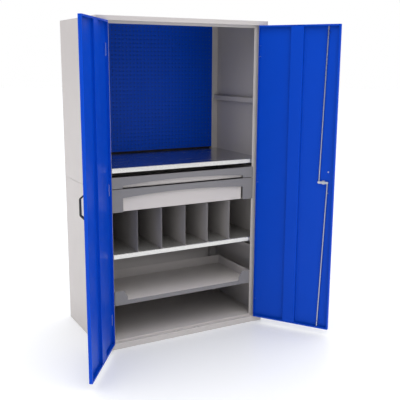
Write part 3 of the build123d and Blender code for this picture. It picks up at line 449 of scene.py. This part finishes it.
def folded_rim(low, high, field_low, field_high, counts, radius, segments=4):
    """Rim of the pan as one surface: flanges, rolled folds, and the plain margin up to the punched field."""
    bm = bmesh.new()
    rings = [(0.0, high.y)]
    for step in range(segments + 1):
        turn = math.pi / 2 * step / segments
        rings.append((radius * (1 - math.cos(turn)), low.y + radius * (1 - math.sin(turn))))
    loops = []
    for inset, y in rings:
        left, right, bottom, top = low.x + inset, high.x - inset, low.z + inset, high.z - inset
        corners = ((left, bottom), (right, bottom), (right, top), (left, top))
        loops.append([bm.verts.new((x, y, z)) for x, z in corners])
    for outer, inner in zip(loops, loops[1:]):
        for side in range(4):
            after = (side + 1) % 4
            bm.faces.new((outer[side], outer[after], inner[after], inner[side]))
    # The margin's inner edge has a corner wherever two cells of the field meet.
    left, right, bottom, top = field_low.x, field_high.x, field_low.z, field_high.z
    corners = ((left, bottom), (right, bottom), (right, top), (left, top))
    edges = []
    for side in range(4):
        start, end = Vector(corners[side]), Vector(corners[(side + 1) % 4])
        count = counts[side % 2]
        places = [start.lerp(end, step / count) for step in range(count)]
        edges.append([bm.verts.new((x, low.y, z)) for x, z in places])
    for side in range(4):
        after = (side + 1) % 4
        inner = edges[side] + [edges[after][0]]
        bm.faces.new((loops[-1][side], loops[-1][after], *reversed(inner)))
    return bm


def plain_mesh(piece):
    """The piece's mesh with its modifiers worked out; the modifiers are then removed."""
    graph = bpy.context.evaluated_depsgraph_get()
    mesh = bpy.data.meshes.new_from_object(piece.evaluated_get(graph))
    piece.modifiers.clear()
    return mesh


def punched_panel(node, cabinet):
    """Replaces the plain pan by one with its holes."""
    low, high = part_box(node)
    middle = (low + high) / 2
    half = Vector((cabinet.columns, 0.0, cabinet.rows)) * (cabinet.pitch / 2)
    counts = (cabinet.columns, cabinet.rows)
    rim = folded_rim(low, high, middle - half, middle + half, counts, cabinet.inside_radius + SHEET)
    mesh = bpy.data.meshes.new(node)
    rim.to_mesh(mesh)
    rim.free()
    piece = bpy.data.objects.new(node + "_punched", mesh)
    bpy.context.scene.collection.objects.link(piece)
    field = piece.modifiers.new("punched field", "NODES")
    field.node_group = punched_field()
    finish = FINISHES[SLOT_OF[node]]
    values = {
        "Columns": cabinet.columns, "Rows": cabinet.rows, "Pitch": cabinet.pitch, "Hole": cabinet.hole,
        "Sides": cabinet.hole_sides, "Middle": (middle.x, low.y, middle.z), "Finish": finish,
    }
    for socket in field.node_group.interface.items_tree:
        if socket.in_out == "INPUT" and socket.name in values:
            field[socket.identifier] = values[socket.name]
    # The cells and the rim are welded where they meet.
    bm = bmesh.new()
    bm.from_mesh(plain_mesh(piece))
    bmesh.ops.remove_doubles(bm, verts=bm.verts, dist=WELD)
    bm.to_mesh(mesh)
    bm.free()
    mesh.materials.clear()
    mesh.materials.append(finish)
    plate = piece.modifiers.new("sheet", "SOLIDIFY")
    plate.thickness = SHEET
    plate.offset = -1.0
    plate.use_even_offset = True
    shade_piece(piece)
    take_place(piece, node)


# ---------------------------------------------------------------------------
# Settings
# ---------------------------------------------------------------------------


class StudioSettings(bpy.types.PropertyGroup):
    """Light, floor and camera of the studio."""

    zenith: FloatProperty(
        name="Zenith", description="Brightness of the white surroundings straight above",
        default=1.81, min=0.0,
    )
    horizon: FloatProperty(
        name="Horizon", description="Brightness of the white surroundings at eye level",
        default=0.031, min=0.0,
    )
    backdrop: FloatProperty(
        name="Backdrop", description="Brightness of the white paper behind the object",
        default=1.0, min=0.0,
    )
    key: FloatProperty(
        name="Key light", description="Power of the big soft light in front and above",
        default=17.0, min=0.0, subtype="POWER",
    )
    key_place: FloatVectorProperty(
        name="Key place", description="Where the big soft light hangs",
        default=(0.0, -2.0, 5.0), subtype="TRANSLATION", unit="LENGTH",
    )
    key_size: FloatProperty(
        name="Key size", description="Side of the big soft light",
        default=2.5, unit="LENGTH",
    )
    camera_place: FloatVectorProperty(
        name="Camera place", description="Where the camera stands",
        default=(-1.77645, -3.75359, 1.65792), subtype="TRANSLATION", unit="LENGTH",
    )
    yaw: FloatProperty(
        name="Yaw", description="Camera's turn to the right of straight ahead",
        default=math.radians(28.452), subtype="ANGLE",
    )
    pitch: FloatProperty(
        name="Pitch", description="Camera's tilt above the horizon",
        default=math.radians(-11.723), subtype="ANGLE",
    )
    roll: FloatProperty(
        name="Roll", description="Camera's roll",
        default=math.radians(0.269), subtype="ANGLE",
    )
    lens: FloatProperty(
        name="Lens", description="Focal length on a 36 mm sensor",
        default=59.777, unit="CAMERA",
    )


class CabinetSettings(bpy.types.PropertyGroup):
    """Colours of the paints, and sizes of the folds and of the perforations."""

    carcass_colour: FloatVectorProperty(
        name="Carcass colour",
        description="Paint of the carcass; the dividers and the tray's inside are shades of it",
        default=paint("#D8D2D0")[:3], min=0.0, max=1.0, subtype="COLOR",
    )
    door_colour: FloatVectorProperty(
        name="Door colour", description="Paint of the two doors and of the tool panel",
        default=paint("#004BD2")[:3], min=0.0, max=1.0, subtype="COLOR",
    )
    drawer_colour: FloatVectorProperty(
        name="Drawer colour", description="Paint of the fronts of the drawers and of the tray",
        default=paint("#8A888B")[:3], min=0.0, max=1.0, subtype="COLOR",
    )
    inside_radius: FloatProperty(
        name="Inside radius", description="Inside radius of a fold",
        default=0.8 * MM, unit="LENGTH",
    )
    columns: IntProperty(
        name="Hole columns", description="Holes from side to side of the tool panel",
        default=39, min=1,
    )
    rows: IntProperty(
        name="Hole rows", description="Holes from bottom to top of the tool panel",
        default=32, min=1,
    )
    pitch: FloatProperty(
        name="Hole pitch", description="Distance between the panel's holes",
        default=25 * MM, unit="LENGTH",
    )
    hole: FloatProperty(
        name="Hole", description="Diameter of the panel's holes",
        default=7 * MM, unit="LENGTH",
    )
    hole_sides: IntProperty(
        name="Hole sides", description="Straight sides that make up a round hole",
        default=16, min=8,
    )


# ---------------------------------------------------------------------------
# Operators
# ---------------------------------------------------------------------------


def faces_along(axis, sign):
    """Tells whether a face looks along an axis, numbered from 0 for x, in the direction of the sign."""
    return lambda face: sign * face.normal[axis] > SQUARE_ON


def faces_behind(node, depth):
    """Tells whether a face lies deeper than this behind the node's foremost face."""
    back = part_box(node)[0].y + depth
    return lambda face: face.calc_center_median().y > back


class CABINET_OT_finishes(bpy.types.Operator):
    """Makes the paints and metals"""

    bl_idname = "cabinet.finishes"
    bl_label = "Finishes"

    def execute(self, context):
        make_finishes(context.scene.cabinet)
        return {"FINISHED"}


class CABINET_OT_carcass(bpy.types.Operator):
    """Forms the roof, posts, walls, base and floor"""

    bl_idname = "cabinet.carcass"
    bl_label = "Carcass"

    def execute(self, context):
        fold = context.scene.cabinet.inside_radius
        for node in (
            "roof_panel", "header_rail",
            "base_front_rail", "base_rear_rail", "base_side_rails", "floor_panel",
            "front_post_left", "front_post_right", "rear_post_left", "rear_post_right",
            "side_panel_lower_left", "side_panel_lower_right",
            "side_panel_upper_left", "side_panel_upper_right",
            "back_panel_lower", "side_stiffeners",
        ):
            form(node, fold)
        # The back's front faces, behind the tool panel, take the dark grey painted shade.
        form("back_panel_upper", fold, second="back_painted_shade", is_second=faces_along(1, -1))
        return {"FINISHED"}


class CABINET_OT_shelves(bpy.types.Operator):
    """Forms the worktop, the divider shelf, their bearers and the dividers"""

    bl_idname = "cabinet.shelves"
    bl_label = "Worktop and shelf"

    def execute(self, context):
        fold = context.scene.cabinet.inside_radius
        for node in ("worktop", "worktop_bearers", "shelf_bearers"):
            form(node, fold)
        form("divider_shelf", fold, second="dulled_galvanised", is_second=faces_along(2, 1))
        # Every face of the dividers takes the darker copy of the carcass paint, as painted shade.
        form("shelf_dividers", fold, THIN_SHEET, second="divider_painted_shade", is_second=lambda face: True)
        return {"FINISHED"}


class CABINET_OT_tool_panel(bpy.types.Operator):
    """Builds the perforated tool panel"""

    bl_idname = "cabinet.tool_panel"
    bl_label = "Perforated panel"

    def execute(self, context):
        punched_panel("perforated_panel", context.scene.cabinet)
        return {"FINISHED"}


class CABINET_OT_drawers(bpy.types.Operator):
    """Forms the drawers, the tray and their runners"""

    bl_idname = "cabinet.drawers"
    bl_label = "Drawers, tray and runners"

    def execute(self, context):
        fold = context.scene.cabinet.inside_radius
        for name in ("small_drawer", "large_drawer"):
            front = name + "_front"
            # Behind the recess of the front is a plate in the carcass's paint.
            behind = faces_behind(front, BEHIND_DRAWER_FRONT)
            form(front, fold, second="carcass_paint", is_second=behind)
            form(name + "_box", fold, THIN_SHEET)
        # The tray's faces behind its front take a paler copy of the carcass paint, as painted light.
        form("tray", fold, second="tray_painted_light", is_second=faces_behind("tray", BEHIND_TRAY_FRONT))
        for node in ("drawer_runner_plates", "tray_runner_plates"):
            form(node, fold)
        for name in ("small_drawer", "large_drawer", "tray"):
            for rail in ("fixed", "middle", "inner"):
                form(f"{name}_{rail}_rails", fold, RAIL_SHEET)
        return {"FINISHED"}


class CABINET_OT_doors(bpy.types.Operator):
    """Forms the doors with their stiffeners, and their handles"""

    bl_idname = "cabinet.doors"
    bl_label = "Doors"

    def execute(self, context):
        fold = context.scene.cabinet.inside_radius
        for side in ("left", "right"):
            form("door_pan_" + side, fold)
            form("door_stiffener_" + side, fold, THIN_SHEET)
            soften("door_handle_" + side, 1.2 * MM)
        return {"FINISHED"}


class CABINET_OT_small_metal(bpy.types.Operator):
    """Gives the hinges, screws, lock and rods their metal"""

    bl_idname = "cabinet.small_metal"
    bl_label = "Hinges, screws and lock"

    def execute(self, context):
        for node in ("lock_cam", "rod_guides", "lock_nut"):
            soften(node, 0.3 * MM, segments=2)
        for node in (
            "frame_hinge_leaves", "hinge_pins", "door_hinge_leaves_left", "door_hinge_leaves_right",
            "handle_screws_left", "handle_screws_right", "lock_housing", "lock_plug", "cam_screw",
            "upper_lock_rod", "lower_lock_rod",
        ):
            materials = frame["nodes"][node].data.materials
            materials.clear()
            materials.append(FINISHES[SLOT_OF[node]])
        return {"FINISHED"}


class CABINET_OT_studio(bpy.types.Operator):
    """Builds the floor, the lights and the camera"""

    bl_idname = "cabinet.studio"
    bl_label = "Studio"

    def execute(self, context):
        studio = context.scene.studio
        self.floor()
        self.surroundings(studio)
        self.lights(studio)
        self.camera(studio)
        context.scene.view_settings.view_transform = "Standard"
        return {"FINISHED"}

    def floor(self):
        """A round, nearly white floor, much wider than the view."""
        material, tree, shader, place = new_material("studio_floor")
        # Painted boards: a barely visible drift in tone over half a metre.
        tone = blend(tree, noise(tree, place, 2.0), paint("#F7F8FA"), paint("#F4F5F8"))
        tree.links.new(tone, shader.inputs["Base Color"])
        shader.inputs["Roughness"].default_value = 0.35
        # It glows faintly, as if lit from below as well, so that it stays nearly white under the cabinet.
        shader.inputs["Emission Color"].default_value = paint("#FFFFFF")
        shader.inputs["Emission Strength"].default_value = 0.15
        mesh = bpy.data.meshes.new("studio_floor")
        bm = bmesh.new()
        bmesh.ops.create_circle(bm, cap_ends=True, radius=FLOOR_RADIUS, segments=FLOOR_SIDES)
        bm.to_mesh(mesh)
        bm.free()
        mesh.materials.append(material)
        floor = bpy.data.objects.new("studio_floor", mesh)
        bpy.context.scene.collection.objects.link(floor)

    def surroundings(self, studio):
        """White surroundings that light from above most; the camera sees them as evenly white paper."""
        world = bpy.data.worlds.new("white studio")
        world.use_nodes = True
        tree = world.node_tree
        tree.nodes.clear()
        direction = add_node(tree, "ShaderNodeTexCoord").outputs["Generated"]
        height = add_node(tree, "ShaderNodeSeparateXYZ", {0: direction}).outputs[2]
        glow = spread(tree, height, studio.horizon, studio.zenith, low=0.0, high=1.0)
        light = add_node(tree, "ShaderNodeBackground", {"Strength": glow})
        paper = add_node(tree, "ShaderNodeBackground", {"Strength": studio.backdrop})
        for node in (light, paper):
            node.inputs["Color"].default_value = paint("#FFFFFF")
        seen = add_node(tree, "ShaderNodeLightPath").outputs["Is Camera Ray"]
        both = add_node(tree, "ShaderNodeMixShader", {0: seen, 1: light.outputs[0], 2: paper.outputs[0]})
        add_node(tree, "ShaderNodeOutputWorld", {0: both.outputs[0]})
        bpy.context.scene.world = world

    def lights(self, studio):
        """One big soft lamp in front and above, aimed at the middle of the cabinet."""
        middle = Vector((0.0, 0.0, 1.0))
        lamp = bpy.data.lights.new("key", "AREA")
        lamp.energy = studio.key
        lamp.size = studio.key_size
        light = bpy.data.objects.new("key", lamp)
        light.location = studio.key_place
        aim = middle - Vector(studio.key_place)
        light.rotation_euler = aim.to_track_quat("-Z", "Y").to_euler()
        bpy.context.scene.collection.objects.link(light)
        # Light bounces once: the cabinet's inside stays as dark as it is in a single soft light.
        bpy.context.scene.cycles.diffuse_bounces = 1

    def camera(self, studio):
        """The camera, turned by its yaw, pitch and roll from looking straight ahead along +Y."""
        data = bpy.data.cameras.new("camera")
        data.lens = studio.lens
        data.sensor_width = SENSOR_WIDTH
        camera = bpy.data.objects.new("camera", data)
        yaw, pitch = studio.yaw, studio.pitch
        ahead = Vector((math.sin(yaw) * math.cos(pitch), math.cos(yaw) * math.cos(pitch), math.sin(pitch)))
        right = Vector((math.cos(yaw), -math.sin(yaw), 0.0))
        up = right.cross(ahead)
        turn = Matrix((right, up, -ahead)).transposed() @ Matrix.Rotation(studio.roll, 3, "Z")
        camera.matrix_world = Matrix.Translation(studio.camera_place) @ turn.to_4x4()
        bpy.context.scene.collection.objects.link(camera)
        bpy.context.scene.camera = camera


class CABINET_PT_panel(bpy.types.Panel):
    """Lists the cabinet's settings and steps"""

    bl_idname = "CABINET_PT_panel"
    bl_label = "Tool cabinet"
    bl_space_type = "VIEW_3D"
    bl_region_type = "UI"
    bl_category = "Tool cabinet"

    def draw(self, context):
        for settings in (context.scene.cabinet, context.scene.studio):
            for name in settings.bl_rna.properties.keys():
                if name not in ("rna_type", "name"):
                    self.layout.prop(settings, name)
        for step in STEPS:
            self.layout.operator(step.bl_idname)


STEPS = (
    CABINET_OT_finishes,
    CABINET_OT_studio,
    CABINET_OT_carcass,
    CABINET_OT_shelves,
    CABINET_OT_tool_panel,
    CABINET_OT_drawers,
    CABINET_OT_doors,
    CABINET_OT_small_metal,
)
CLASSES = (StudioSettings, CabinetSettings, *STEPS, CABINET_PT_panel)


def register():
    for cls in CLASSES:
        bpy.utils.register_class(cls)
    bpy.types.Scene.studio = PointerProperty(type=StudioSettings)
    bpy.types.Scene.cabinet = PointerProperty(type=CabinetSettings)


def unregister():
    del bpy.types.Scene.cabinet
    del bpy.types.Scene.studio
    for cls in reversed(CLASSES):
        bpy.utils.unregister_class(cls)


def main():
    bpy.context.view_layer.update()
    register()
    for step in STEPS:
        space, name = step.bl_idname.split(".")
        getattr(getattr(bpy.ops, space), name)()


if __name__ == "__main__":
    main()
